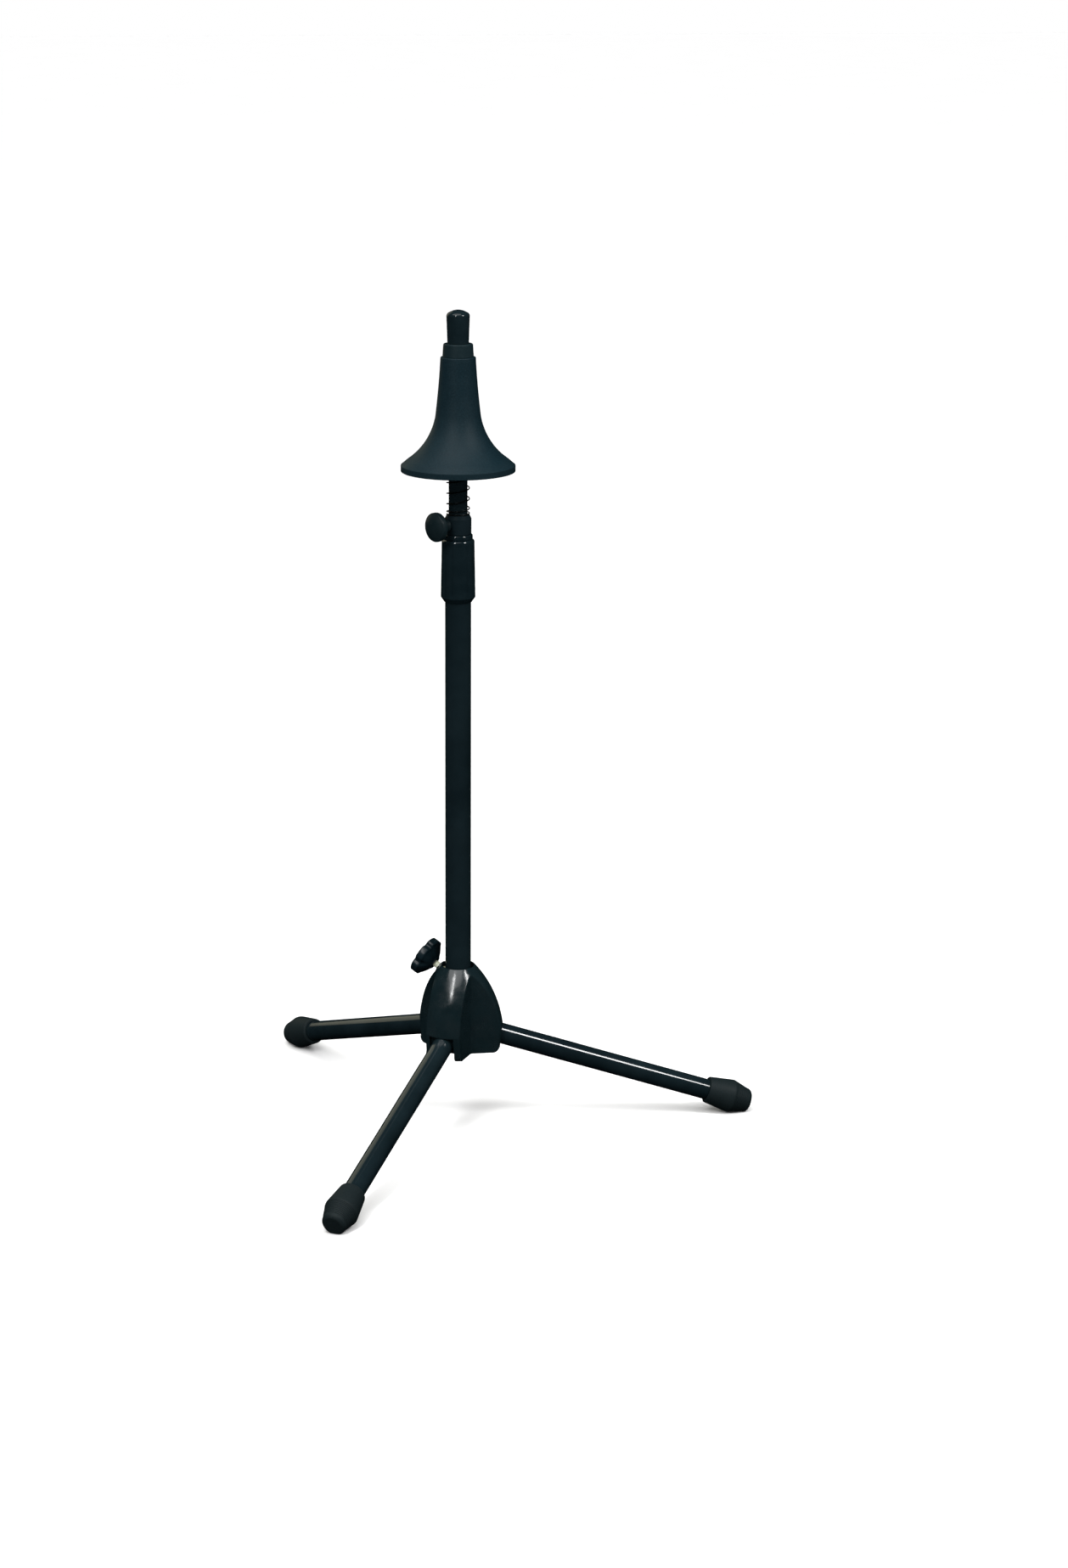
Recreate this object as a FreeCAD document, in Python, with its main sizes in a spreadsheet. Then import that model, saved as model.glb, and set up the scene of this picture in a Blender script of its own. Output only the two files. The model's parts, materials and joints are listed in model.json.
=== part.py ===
import FreeCAD, Part
import math
import os

import Sketcher

# Height-adjustable instrument stand: a tripod hub with three folding legs, a column
# clamped in the hub, a telescopic rod with a twist clutch, and a sprung bell cone.
# Frame: millimetres, +Z up, origin on the floor below the column's axis.
# Leg 1 points along +X, leg 2 and leg 3 stand 120 degrees on from it each.

LEG_COUNT = 3
FULL_TURN = 360.0

SIZES = {
    # legs
    "leg_spacing": 120.0,
    "leg_slope": 18.335,
    "leg_radius": 9.0,
    "leg_wall": 1.5,
    "leg_shoulder": 13.0,
    "leg_tube_end": 240.0,
    "pivot_reach": 24.5,
    "pivot_height": 85.92,
    "pin_radius": 3.0,
    "pin_half_length": 15.5,
    "running_gap": 0.05,
    "cutter_margin": 5.0,
    "side_gap": 0.35,
    "spigot_length": 25.0,
    # feet, measured along the leg from the pivot
    "foot_start": 207.9,
    "foot_swell": 230.7,
    "foot_taper_end": 243.9,
    "foot_end": 248.2,
    "foot_lip_radius": 11.6,
    "foot_swell_radius": 14.5,
    "foot_taper_radius": 10.6,
    "foot_end_radius": 7.6,
    "foot_edge_radius": 1.0,
    "foot_end_arc": 4.52,
    # hub
    "hub_top": 145.7,
    "hub_lip_radius": 14.7,
    "hub_waist": 92.0,
    "hub_waist_radius": 39.1,
    "hub_dome_arc": 97.0,
    "hub_base": 69.5,
    "hub_base_radius": 37.2,
    "hub_base_corner": 4.5,
    "hub_bore_radius": 12.5,
    "lobe_half_width": 16.0,
    "lobe_edge_fillet": 2.5,
    "valley_fillet": 3.0,
    "slot_half_width": 11.2,
    "slot_inner": 15.0,
    "slot_roof_gap": 0.3,
    "bush_base": 75.0,
    "bush_top": 139.5,
    "bush_flange_radius": 13.9,
    "bush_flange_thickness": 1.4,
    # column clamp in the hub
    "clamp_height": 137.1,
    "clamp_slope": 29.5,
    "clamp_direction": 145.0,
    "clamp_bolt_radius": 3.0,
    "clamp_pad_radius": 2.6,
    "clamp_pad_length": 3.0,
    "clamp_boss_radius": 6.2,
    "clamp_boss_start": 3.6,
    "clamp_boss_end": 8.2,
    "clamp_knob_hub_start": 13.2,
    "clamp_knob_rim_start": 20.3,
    "clamp_knob_end": 28.6,
    "clamp_knob_radius": 17.5,
    "clamp_knob_hub_radius": 6.3,
    "clamp_knob_crown": 1.2,
    "clamp_knob_grip": 10.0,
    "clamp_scallop_radius": 5.2,
    "clamp_scallop_reach": 20.6,
    "clamp_knob_edge": 1.3,
    # column
    "column_radius": 11.1,
    "column_wall": 1.2,
    "column_base": 72.0,
    "column_top": 506.0,
    "plug_depth": 6.0,
    "plug_flange": 1.6,
    "plug_edge_gap": 0.4,
    # clutch
    "clutch_core_base": 458.0,
    "clutch_core_top": 503.0,
    "collet_top": 522.5,
    "collet_radius": 11.0,
    "collet_slit": 1.6,
    "collet_foot": 3.0,
    "collet_nose_height": 5.0,
    "collet_nose_wall": 1.6,
    "sleeve_base": 469.0,
    "sleeve_chamfer_top": 472.8,
    "sleeve_top": 522.9,
    "sleeve_base_radius": 14.7,
    "sleeve_top_radius": 13.9,
    "sleeve_bore_radius": 11.3,
    "sleeve_base_step": 0.4,
    "sleeve_shoulder": 2.4,
    "flute_radius": 3.4,
    "flute_depth": 0.7,
    "flange_base": 523.0,
    "flange_top": 527.1,
    "flange_radius": 12.4,
    "flange_lip": 0.8,
    # rod
    "rod_radius": 7.95,
    "rod_wall": 1.2,
    "rod_base": 82.0,
    "rod_top": 713.0,
    "glide_top": 96.0,
    "glide_gap": 0.08,
    "tip_base": 689.1,
    "tip_top": 717.3,
    "tip_shoulder": 712.4,
    "tip_base_radius": 9.05,
    "tip_shoulder_radius": 9.8,
    "tip_corner": 2.2,
    "tip_corner_height": 2.75,
    "tip_corner_arc": 3.52,
    # stop collar that seats the spring
    "collar_base": 527.3,
    "collar_chamfer": 540.6,
    "collar_top": 543.7,
    "collar_radius": 11.3,
    "collar_top_radius": 9.7,
    "collar_knob_height": 535.6,
    "collar_knob_direction": 213.0,
    "collar_screw_radius": 2.5,
    "collar_pad_radius": 2.1,
    "collar_pad_length": 1.6,
    "collar_pad_gap": 0.3,
    "collar_neck_end": 20.6,
    "collar_neck_radius": 5.2,
    "collar_neck_gap": 0.5,
    "collar_neck_flare": 1.0,
    "collar_knob_back": 2.2,
    "collar_knob_rim": 26.8,
    "collar_knob_edge": 1.3,
    "collar_knob_edge_arc": 1.5,
    "collar_knob_end": 30.0,
    "collar_knob_radius": 12.45,
    # spring and washer
    "spring_radius": 9.5,
    "spring_wire": 0.55,
    "spring_turns": 6.5,
    "washer_base": 598.6,
    "washer_top": 600.0,
    "washer_radius": 10.8,
    # bell cone
    "cone_rim_base": 581.0,
    "cone_rim_top": 586.0,
    "cone_rim_radius": 48.4,
    "cone_flare_top": 590.6,
    "cone_flare_radius": 43.0,
    "cone_neck_base": 628.0,
    "cone_neck_radius": 19.2,
    "cone_flare_arc": 57.0,
    "cone_top": 677.8,
    "cone_top_radius": 14.9,
    "cone_neck_arc": 700.0,
    "cone_wall": 3.0,
    "cone_inner_rim_radius": 45.2,
    "cone_inner_rim_height": 3.0,
    "cone_inner_flare_arc": 60.0,
    "cone_ceiling": 634.0,
    "cone_ceiling_radius": 15.4,
    "cone_core_base": 600.1,
    "cone_core_radius": 11.6,
    "cone_rim_edge": 1.0,
    "bush_lower_radius": 13.2,
    "bush_upper_radius": 12.5,
    "bush_edge": 1.0,
    "bush_spigot": 8.0,
    "bush_spigot_radius": 10.4,
    "bush_top_gap": 0.1,
}

FLUTE_COUNT = 12
SCALLOP_COUNT = 6
COLLET_SLITS = 4
FLATNESS = 0.01
LEAST_CUT = 1e-6

document = FreeCAD.newDocument("instrument_stand")


class Size:
    """A length or angle: its value now and the sheet expression that gives it."""

    def __init__(self, value, text):
        self.value = float(value)
        self.text = text

    def __add__(self, other):
        other = as_size(other)
        return Size(self.value + other.value, f"({self.text} + {other.text})")

    def __sub__(self, other):
        other = as_size(other)
        return Size(self.value - other.value, f"({self.text} - {other.text})")

    def __mul__(self, other):
        other = as_size(other)
        return Size(self.value * other.value, f"({self.text} * {other.text})")

    def __truediv__(self, other):
        other = as_size(other)
        return Size(self.value / other.value, f"({self.text} / {other.text})")

    def __neg__(self):
        return Size(-self.value, f"(0 - {self.text})")


def as_size(number):
    return number if isinstance(number, Size) else Size(number, repr(float(number)))


def crown_radius(half_width, rise):
    """Radius of the round crown that is this wide and this high."""
    return (half_width * half_width + rise * rise) / (rise * 2.0)


def cosine(angle):
    return Size(math.cos(math.radians(angle.value)), f"cos({angle.text} * 1 deg)")


def sine(angle):
    return Size(math.sin(math.radians(angle.value)), f"sin({angle.text} * 1 deg)")


def make_sheet():
    sheet = document.addObject("Spreadsheet::Sheet", "Sizes")
    for row, (alias, number) in enumerate(SIZES.items(), start=1):
        sheet.set(f"A{row}", alias)
        sheet.set(f"B{row}", str(number))
        sheet.setAlias(f"B{row}", alias)
    document.recompute()
    return {alias: Size(getattr(sheet, alias), f"Sizes.{alias}") for alias in SIZES}


size = make_sheet()
ZERO = as_size(0.0)
labelled = []


# ---------------------------------------------------------------- drawing helpers


def new_body(label):
    body = document.addObject("PartDesign::Body", label)
    body.Label = label
    labelled.append(body)
    return body


def new_sketch(body, name, plane):
    sketch = body.newObject("Sketcher::SketchObject", f"{body.Label}_{name}")
    support = [part for part in body.Origin.OriginFeatures if part.Role == plane]
    sketch.AttachmentSupport = [(support[0], "")]
    sketch.MapMode = "FlatFace"
    return sketch


def bind(sketch, kind, *arguments, length):
    index = sketch.addConstraint(Sketcher.Constraint(kind, *arguments, length.value))
    sketch.setExpression(f"Constraints[{index}]", length.text)


def pin_point(sketch, geometry, place, x, y):
    """Hold one sketch point at x, y; a negative distance is drawn the other way."""
    for kind, axis, distance in (("DistanceX", -2, x), ("DistanceY", -1, y)):
        if distance.value == 0.0:
            sketch.addConstraint(Sketcher.Constraint("PointOnObject", geometry, place, axis))
        elif distance.value > 0:
            bind(sketch, kind, -1, 1, geometry, place, length=distance)
        else:
            bind(sketch, kind, geometry, place, -1, 1, length=-distance)


def arc_between(start, end, radius, turns_left):
    """The arc from start to end; turns_left says that it bends to the left."""
    middle = (start + end) * 0.5
    along = end - start
    half = along.Length / 2.0
    normal = FreeCAD.Vector(-along.y, along.x, 0).normalize()
    rise = math.sqrt(max(radius * radius - half * half, 0.0))
    centre = middle + normal * (rise if turns_left else -rise)
    first, last = (start, end) if turns_left else (end, start)
    begin = math.atan2(first.y - centre.y, first.x - centre.x)
    finish = math.atan2(last.y - centre.y, last.x - centre.x)
    circle = Part.Circle(centre, FreeCAD.Vector(0, 0, 1), radius)
    return Part.ArcOfCircle(circle, begin, finish)


def draw_outline(sketch, corners):
    """A closed outline. A corner is (x, y), or (x, y, radius, "left" or "right")
    where the stretch to the next corner is an arc that bends that way."""
    corners = [tuple(as_size(c) if not isinstance(c, str) else c for c in corner) for corner in corners]
    points = [FreeCAD.Vector(corner[0].value, corner[1].value, 0) for corner in corners]
    ends = []
    first = sketch.GeometryCount
    for index, corner in enumerate(corners):
        start = points[index]
        end = points[(index + 1) % len(points)]
        if len(corner) == 2:
            sketch.addGeometry(Part.LineSegment(start, end))
            ends.append((1, 2))
        else:
            turns_left = corner[3] == "left"
            sketch.addGeometry(arc_between(start, end, corner[2].value, turns_left))
            ends.append((1, 2) if turns_left else (2, 1))
    count = len(corners)
    for index, corner in enumerate(corners):
        following = (index + 1) % count
        joint = (first + index, ends[index][1], first + following, ends[following][0])
        sketch.addConstraint(Sketcher.Constraint("Coincident", *joint))
        pin_point(sketch, first + index, ends[index][0], corner[0], corner[1])
        if len(corner) == 4:
            bind(sketch, "Radius", first + index, length=corner[2])


def draw_circle(sketch, x, y, radius):
    centre = FreeCAD.Vector(x.value, y.value, 0)
    circle = Part.Circle(centre, FreeCAD.Vector(0, 0, 1), radius.value)
    geometry = sketch.addGeometry(circle)
    pin_point(sketch, geometry, 3, x, y)
    bind(sketch, "Radius", geometry, length=radius)


def box_outline(low_x, low_y, high_x, high_y):
    return [(low_x, low_y), (high_x, low_y), (high_x, high_y), (low_x, high_y)]


def turn(body, sketch, kind="PartDesign::Revolution", axis="V_Axis"):
    feature = body.newObject(kind, f"{sketch.Label}_turned")
    feature.Profile = sketch
    feature.ReferenceAxis = (sketch, [axis])
    feature.Angle = FULL_TURN
    document.recompute()
    return feature


def pad(body, sketch, length, midplane=False):
    feature = body.newObject("PartDesign::Pad", f"{sketch.Label}_pad")
    feature.Profile = sketch
    feature.Midplane = midplane
    feature.setExpression("Length", length.text)
    document.recompute()
    return feature


def cut(body, sketch, length, midplane=False, flip=False):
    """Pocket that must remove material."""
    before = body.Shape.Volume
    feature = body.newObject("PartDesign::Pocket", f"{sketch.Label}_cut")
    feature.Profile = sketch
    feature.Midplane = midplane
    feature.Reversed = flip
    feature.setExpression("Length", length.text)
    document.recompute()
    if body.Shape.Volume >= before - LEAST_CUT:
        raise RuntimeError(f"{feature.Label} removes nothing")
    return feature


def groove(body, sketch, axis="V_Axis"):
    before = body.Shape.Volume
    feature = turn(body, sketch, "PartDesign::Groove", axis)
    if body.Shape.Volume >= before - LEAST_CUT:
        raise RuntimeError(f"{feature.Label} removes nothing")
    return feature


def repeat_round(body, features, count):
    pattern = body.newObject("PartDesign::PolarPattern", f"{body.Label}_round")
    pattern.Originals = features
    vertical = [part for part in body.Origin.OriginFeatures if part.Role == "Z_Axis"]
    pattern.Axis = (vertical[0], [""])
    pattern.Angle = FULL_TURN
    pattern.Occurrences = count
    body.Tip = pattern
    document.recompute()
    return pattern


def round_edges(body, name, radius, wanted):
    """Fillet the body's edges that wanted(edge) picks."""
    base = body.Tip
    names = [f"Edge{n}" for n, edge in enumerate(base.Shape.Edges, start=1) if wanted(edge)]
    if not names:
        raise RuntimeError(f"{body.Label}: no edge for {name}")
    fillet = body.newObject("PartDesign::Fillet", f"{body.Label}_{name}")
    fillet.Base = (base, names)
    fillet.setExpression("Radius", radius.text)
    document.recompute()
    if not fillet.isValid():
        raise RuntimeError(f"{body.Label}: {name} can't be rounded")
    return fillet


def turned(label, corners):
    """A body turned about Z from an outline in the X-Z plane."""
    body = new_body(label)
    profile = new_sketch(body, "profile", "XZ_Plane")
    draw_outline(profile, corners)
    turn(body, profile)
    return body


def cylinder(label, radius, low, length):
    piece = document.addObject("Part::Cylinder", label)
    piece.Label = label
    piece.setExpression("Radius", radius.text)
    piece.setExpression("Height", length.text)
    piece.Placement.Base = FreeCAD.Vector(0, 0, low.value)
    labelled.append(piece)
    return piece


def leg_frame(index):
    """Origin on the leg's pivot, X along the leg, turned to the leg's place."""
    about_column = FreeCAD.Rotation(FreeCAD.Vector(0, 0, 1), index * size["leg_spacing"].value)
    slope = FreeCAD.Rotation(FreeCAD.Vector(0, 1, 0), size["leg_slope"].value)
    pivot = FreeCAD.Vector(size["pivot_reach"].value, 0, size["pivot_height"].value)
    place = FreeCAD.Placement(FreeCAD.Vector(), about_column)
    return place.multiply(FreeCAD.Placement(pivot, slope))


def clamp_frame():
    """Z out along the clamp bolt, origin where the bolt's axis meets the column."""
    lean = 90.0 - size["clamp_slope"].value
    start = FreeCAD.Vector(size["column_radius"].value, 0, size["clamp_height"].value)
    leaning = FreeCAD.Placement(start, FreeCAD.Rotation(FreeCAD.Vector(0, 1, 0), lean))
    direction = FreeCAD.Rotation(FreeCAD.Vector(0, 0, 1), size["clamp_direction"].value)
    return FreeCAD.Placement(FreeCAD.Vector(), direction).multiply(leaning)


def collar_frame():
    """Z out along the collar's screw, origin on the rod's axis."""
    direction = FreeCAD.Rotation(FreeCAD.Vector(0, 0, 1), size["collar_knob_direction"].value)
    level = FreeCAD.Rotation(FreeCAD.Vector(0, 1, 0), 90.0)
    start = FreeCAD.Vector(0, 0, size["collar_knob_height"].value)
    return FreeCAD.Placement(start, direction.multiply(level))


# ---------------------------------------------------------------- hub


def make_hub():
    body = new_body("hub")
    core = new_sketch(body, "core", "XY_Plane")
    draw_circle(core, ZERO, ZERO, size["hub_lip_radius"])
    pad(body, core, size["hub_top"])

    lobe = new_sketch(body, "lobe", "XY_Plane")
    half = size["lobe_half_width"]
    draw_outline(lobe, box_outline(ZERO, -half, size["hub_waist_radius"] + size["cutter_margin"], half))
    lobe_pad = pad(body, lobe, size["hub_top"])
    repeat_round(body, [lobe_pad], LEG_COUNT)
    round_edges(body, "valleys", size["valley_fillet"], is_valley_edge)

    # everything outside the dome comes off in one turn
    margin = size["cutter_margin"]
    outside = size["hub_waist_radius"] + margin * 4.0
    above = size["hub_top"] + margin
    shell = new_sketch(body, "outside", "XZ_Plane")
    corner = size["hub_base_corner"]
    draw_outline(shell, [
        (size["hub_base_radius"] - corner, size["hub_base"], corner, "left"),
        (size["hub_base_radius"], size["hub_base"] + corner),
        (size["hub_waist_radius"], size["hub_waist"], size["hub_dome_arc"], "left"),
        (size["hub_lip_radius"], size["hub_top"]),
        (size["hub_lip_radius"], above),
        (outside, above),
        (outside, -margin),
        (size["hub_base_radius"] - corner, -margin),
    ])
    groove(body, shell)

    underside = new_sketch(body, "underside", "XY_Plane")
    draw_circle(underside, ZERO, ZERO, outside)
    cut(body, underside, size["hub_base"], flip=True)

    round_edges(body, "lobe_edges", size["lobe_edge_fillet"], is_dome_edge)
    cut_bore(body)
    cut_leg_slots(body)
    add_clamp_boss(body)
    return body


def is_valley_edge(edge):
    """Upright edges where two lobes' side faces meet."""
    if not isinstance(edge.Curve, Part.Line) or edge.Length < size["hub_base"].value:
        return False
    box = edge.BoundBox
    upright = abs(box.ZLength - edge.Length) < FLATNESS
    reach = math.hypot(box.Center.x, box.Center.y)
    return upright and reach < size["hub_bore_radius"].value + size["lobe_half_width"].value


def is_dome_edge(edge):
    """Edges between the dome and a lobe's side faces, from the base to the lip."""
    tall = edge.BoundBox.ZLength > size["pivot_reach"].value / 2.0
    reach = max(math.hypot(v.X, v.Y) for v in edge.Vertexes)
    straight = isinstance(edge.Curve, Part.Line)
    return tall and reach > size["hub_base_radius"].value - size["cutter_margin"].value and not straight


def cut_bore(body):
    bore = new_sketch(body, "bore", "XY_Plane")
    draw_circle(bore, ZERO, ZERO, size["hub_bore_radius"])
    cut(body, bore, size["hub_top"] + size["cutter_margin"], flip=True)
    seat = new_sketch(body, "bush_seat", "XZ_Plane")
    flange_low = size["bush_top"] - size["bush_flange_thickness"]
    above = size["hub_top"] + size["cutter_margin"]
    draw_outline(seat, box_outline(ZERO, flange_low, size["bush_flange_radius"], above))
    groove(body, seat)


def cut_leg_slots(body):
    """Slots open outwards and downwards; the roof is the leg's stop."""
    slope = size["leg_slope"]
    inner = size["slot_inner"]
    outer = size["hub_waist_radius"] + size["cutter_margin"]
    below = size["hub_base"] - size["cutter_margin"]
    rise = (size["leg_radius"] + size["slot_roof_gap"]) / cosine(slope)
    tangent = sine(slope) / cosine(slope)
    roof_inner = size["pivot_height"] + rise + (size["pivot_reach"] - inner) * tangent
    roof_outer = size["pivot_height"] + rise - (outer - size["pivot_reach"]) * tangent
    slot = new_sketch(body, "slot", "XZ_Plane")
    draw_outline(slot, [
        (inner, below),
        (outer, below),
        (outer, roof_outer),
        (inner, roof_inner),
    ])
    slot_cut = cut(body, slot, size["slot_half_width"] * 2.0, midplane=True)
    pin = new_sketch(body, "pin_hole", "XZ_Plane")
    draw_circle(pin, size["pivot_reach"], size["pivot_height"], size["pin_radius"])
    pin_cut = cut(body, pin, size["pin_half_length"] * 2.0, midplane=True)
    repeat_round(body, [slot_cut, pin_cut], LEG_COUNT)


def inclined(distance, offset):
    """A point in the upright plane through the clamp bolt's axis, at this distance
    out along it and this far above it."""
    slope = size["clamp_slope"]
    x = size["column_radius"] + distance * cosine(slope) - offset * sine(slope)
    z = size["clamp_height"] + distance * sine(slope) + offset * cosine(slope)
    return x, z


def bolt_axis_sketch(body, name, radius, start, end):
    """Half outline of a round thing about the clamp bolt, with its axis drawn in."""
    sketch = new_sketch(body, name, "XZ_Plane")
    direction = FreeCAD.Rotation(FreeCAD.Vector(0, 1, 0), size["clamp_direction"].value)
    sketch.AttachmentOffset = FreeCAD.Placement(FreeCAD.Vector(), direction)
    corners = [inclined(start, ZERO), inclined(start, radius), inclined(end, radius), inclined(end, ZERO)]
    draw_outline(sketch, corners)
    ends = [FreeCAD.Vector(x.value, z.value, 0) for x, z in (corners[0], corners[3])]
    axis = sketch.addGeometry(Part.LineSegment(*ends), True)
    sketch.addConstraint(Sketcher.Constraint("Coincident", axis, 1, 0, 1))
    sketch.addConstraint(Sketcher.Constraint("Coincident", axis, 2, 3, 1))
    return sketch


def add_clamp_boss(body):
    boss = bolt_axis_sketch(
        body, "clamp_boss", size["clamp_boss_radius"], size["clamp_boss_start"], size["clamp_boss_end"])
    turn(body, boss, axis="Axis0")
    clear = new_sketch(body, "boss_clear", "XZ_Plane")
    seat = size["bush_top"] - size["bush_flange_thickness"]
    outside = size["hub_waist_radius"]
    above = size["hub_top"] + size["cutter_margin"] * 2.0
    draw_outline(clear, [
        (ZERO, seat),
        (size["bush_flange_radius"], seat),
        (size["bush_flange_radius"], size["hub_top"]),
        (outside, size["hub_top"]),
        (outside, above),
        (ZERO, above),
    ])
    groove(body, clear)
    cut_clamp_hole(body)


def cut_clamp_hole(body):
    """Clearance hole for the clamp bolt through whatever lies along it."""
    margin = size["cutter_margin"]
    hole = bolt_axis_sketch(
        body, "clamp_hole", size["clamp_bolt_radius"] + size["running_gap"], -margin,
        size["clamp_boss_end"] + margin)
    groove(body, hole, axis="Axis0")


def make_hub_bush():
    """Plastic sleeve that guides the column in the hub."""
    inner = size["column_radius"] + size["running_gap"]
    flange_low = size["bush_top"] - size["bush_flange_thickness"]
    body = turned("hub_bush", [
        (inner, size["bush_base"]),
        (size["hub_bore_radius"], size["bush_base"]),
        (size["hub_bore_radius"], flange_low),
        (size["bush_flange_radius"], flange_low),
        (size["bush_flange_radius"], size["bush_top"]),
        (inner, size["bush_top"]),
    ])
    cut_clamp_hole(body)
    return body


# ---------------------------------------------------------------- legs


def make_pin(index):
    pin = cylinder(
        f"leg_{index + 1}_pin", size["pin_radius"], ZERO, size["pin_half_length"] * 2.0)
    across = FreeCAD.Placement(
        FreeCAD.Vector(0, size["pin_half_length"].value, 0),
        FreeCAD.Rotation(FreeCAD.Vector(1, 0, 0), 90.0))
    pin.Placement = leg_frame(index).multiply(across)
    return pin


def make_leg_tube(index):
    body = new_body(f"leg_{index + 1}_tube")
    section = new_sketch(body, "section", "XZ_Plane")
    draw_outline(section, box_outline(
        size["leg_shoulder"], size["leg_radius"] - size["leg_wall"],
        size["leg_tube_end"], size["leg_radius"]))
    turn(body, section, axis="H_Axis")
    body.Placement = leg_frame(index)
    return body


def make_knuckle(index):
    """Cast end piece: a drum on the pin, a shoulder and a spigot in the tube."""
    body = new_body(f"leg_{index + 1}_knuckle")
    shank = new_sketch(body, "shank", "XZ_Plane")
    spigot_radius = size["leg_radius"] - size["leg_wall"]
    spigot_end = size["leg_shoulder"] + size["spigot_length"]
    draw_outline(shank, [
        (ZERO, ZERO),
        (spigot_end, ZERO),
        (spigot_end, spigot_radius),
        (size["leg_shoulder"], spigot_radius),
        (size["leg_shoulder"], size["leg_radius"]),
        (ZERO, size["leg_radius"]),
    ])
    turn(body, shank, axis="H_Axis")
    drum = new_sketch(body, "drum", "XZ_Plane")
    draw_circle(drum, ZERO, ZERO, size["leg_radius"])
    width = (size["slot_half_width"] - size["side_gap"]) * 2.0
    pad(body, drum, width, midplane=True)
    hole = new_sketch(body, "hole", "XZ_Plane")
    draw_circle(hole, ZERO, ZERO, size["pin_radius"] + size["running_gap"])
    cut(body, hole, width + size["cutter_margin"], midplane=True)
    body.Placement = leg_frame(index)
    return body


def make_foot(index):
    """Rubber foot pushed on the tube, with a flat sole where it meets the floor."""
    body = new_body(f"leg_{index + 1}_foot")
    profile = new_sketch(body, "profile", "XZ_Plane")
    edge = size["foot_edge_radius"]
    draw_outline(profile, [
        (size["foot_start"], size["leg_radius"]),
        (size["foot_start"], size["foot_lip_radius"] - edge, edge, "right"),
        (size["foot_start"] + edge, size["foot_lip_radius"]),
        (size["foot_swell"], size["foot_swell_radius"]),
        (size["foot_taper_end"], size["foot_taper_radius"], size["foot_end_arc"], "right"),
        (size["foot_end"], size["foot_end_radius"]),
        (size["foot_end"], ZERO),
        (size["leg_tube_end"], ZERO),
        (size["leg_tube_end"], size["leg_radius"]),
    ])
    turn(body, profile, axis="H_Axis")

    # the floor, as a line in the leg's own frame
    slope = size["leg_slope"]
    near = size["foot_start"]
    far = size["foot_end"] + size["cutter_margin"]
    deep = -size["foot_swell_radius"] * 3.0
    sole = new_sketch(body, "sole", "XZ_Plane")
    draw_outline(sole, [
        (near, (near * sine(slope) - size["pivot_height"]) / cosine(slope)),
        (near, deep),
        (far, deep),
        (far, (far * sine(slope) - size["pivot_height"]) / cosine(slope)),
    ])
    cut(body, sole, size["foot_swell_radius"] * 3.0, midplane=True)
    body.Placement = leg_frame(index)
    return body


# ---------------------------------------------------------------- column clamp


def make_clamp_pad():
    """Shoe at the bolt's tip, hollowed to the column it bears on."""
    sink = size["cutter_margin"]
    plug = document.addObject("Part::Cylinder", "clamp_pad_plug")
    plug.setExpression("Radius", size["clamp_pad_radius"].text)
    plug.setExpression("Height", (size["clamp_pad_length"] + sink).text)
    inward = FreeCAD.Placement(FreeCAD.Vector(0, 0, -sink.value), FreeCAD.Rotation())
    plug.Placement = clamp_frame().multiply(inward)
    column = document.addObject("Part::Cylinder", "clamp_pad_hollow")
    column.setExpression("Radius", (size["column_radius"] + size["running_gap"]).text)
    column.setExpression("Height", size["column_top"].text)
    shoe = document.addObject("Part::Cut", "clamp_pad")
    shoe.Base = plug
    shoe.Tool = column
    shoe.Label = "clamp_pad"
    labelled.append(shoe)
    return shoe


def make_clamp_bolt():
    start = size["clamp_pad_length"] + size["running_gap"]
    length = size["clamp_knob_hub_start"] - start + size["clamp_knob_grip"]
    bolt = cylinder("clamp_bolt", size["clamp_bolt_radius"], start, length)
    bolt.Placement = clamp_frame().multiply(
        FreeCAD.Placement(FreeCAD.Vector(0, 0, start.value), FreeCAD.Rotation()))
    return bolt


def make_clamp_knob():
    """Star knob with scalloped edge, moulded round the bolt's head."""
    body = new_body("clamp_knob")
    profile = new_sketch(body, "profile", "XZ_Plane")
    edge = size["clamp_knob_edge"]
    radius = size["clamp_knob_radius"]
    crown = size["clamp_knob_crown"]
    bolt_end = size["clamp_knob_hub_start"] + size["clamp_knob_grip"]
    face_radius = radius - edge
    face_arc = crown_radius(face_radius, crown)
    draw_outline(profile, [
        (size["clamp_bolt_radius"], size["clamp_knob_hub_start"]),
        (size["clamp_knob_hub_radius"], size["clamp_knob_hub_start"]),
        (radius - edge, size["clamp_knob_rim_start"], edge, "left"),
        (radius, size["clamp_knob_rim_start"] + edge),
        (radius, size["clamp_knob_end"] - crown - edge, edge, "left"),
        (face_radius, size["clamp_knob_end"] - crown, face_arc, "left"),
        (ZERO, size["clamp_knob_end"]),
        (ZERO, bolt_end),
        (size["clamp_bolt_radius"], bolt_end),
    ])
    turn(body, profile)
    scallop = new_sketch(body, "scallop", "XY_Plane")
    draw_circle(scallop, size["clamp_scallop_reach"], ZERO, size["clamp_scallop_radius"])
    scallop_cut = cut(body, scallop, size["clamp_knob_end"] + size["cutter_margin"], flip=True)
    repeat_round(body, [scallop_cut], SCALLOP_COUNT)
    body.Placement = clamp_frame()
    return body


# ---------------------------------------------------------------- column and clutch


def make_column():
    inner = size["column_radius"] - size["column_wall"]
    return turned("outer_tube", box_outline(
        inner, size["column_base"], size["column_radius"], size["column_top"]))


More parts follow.
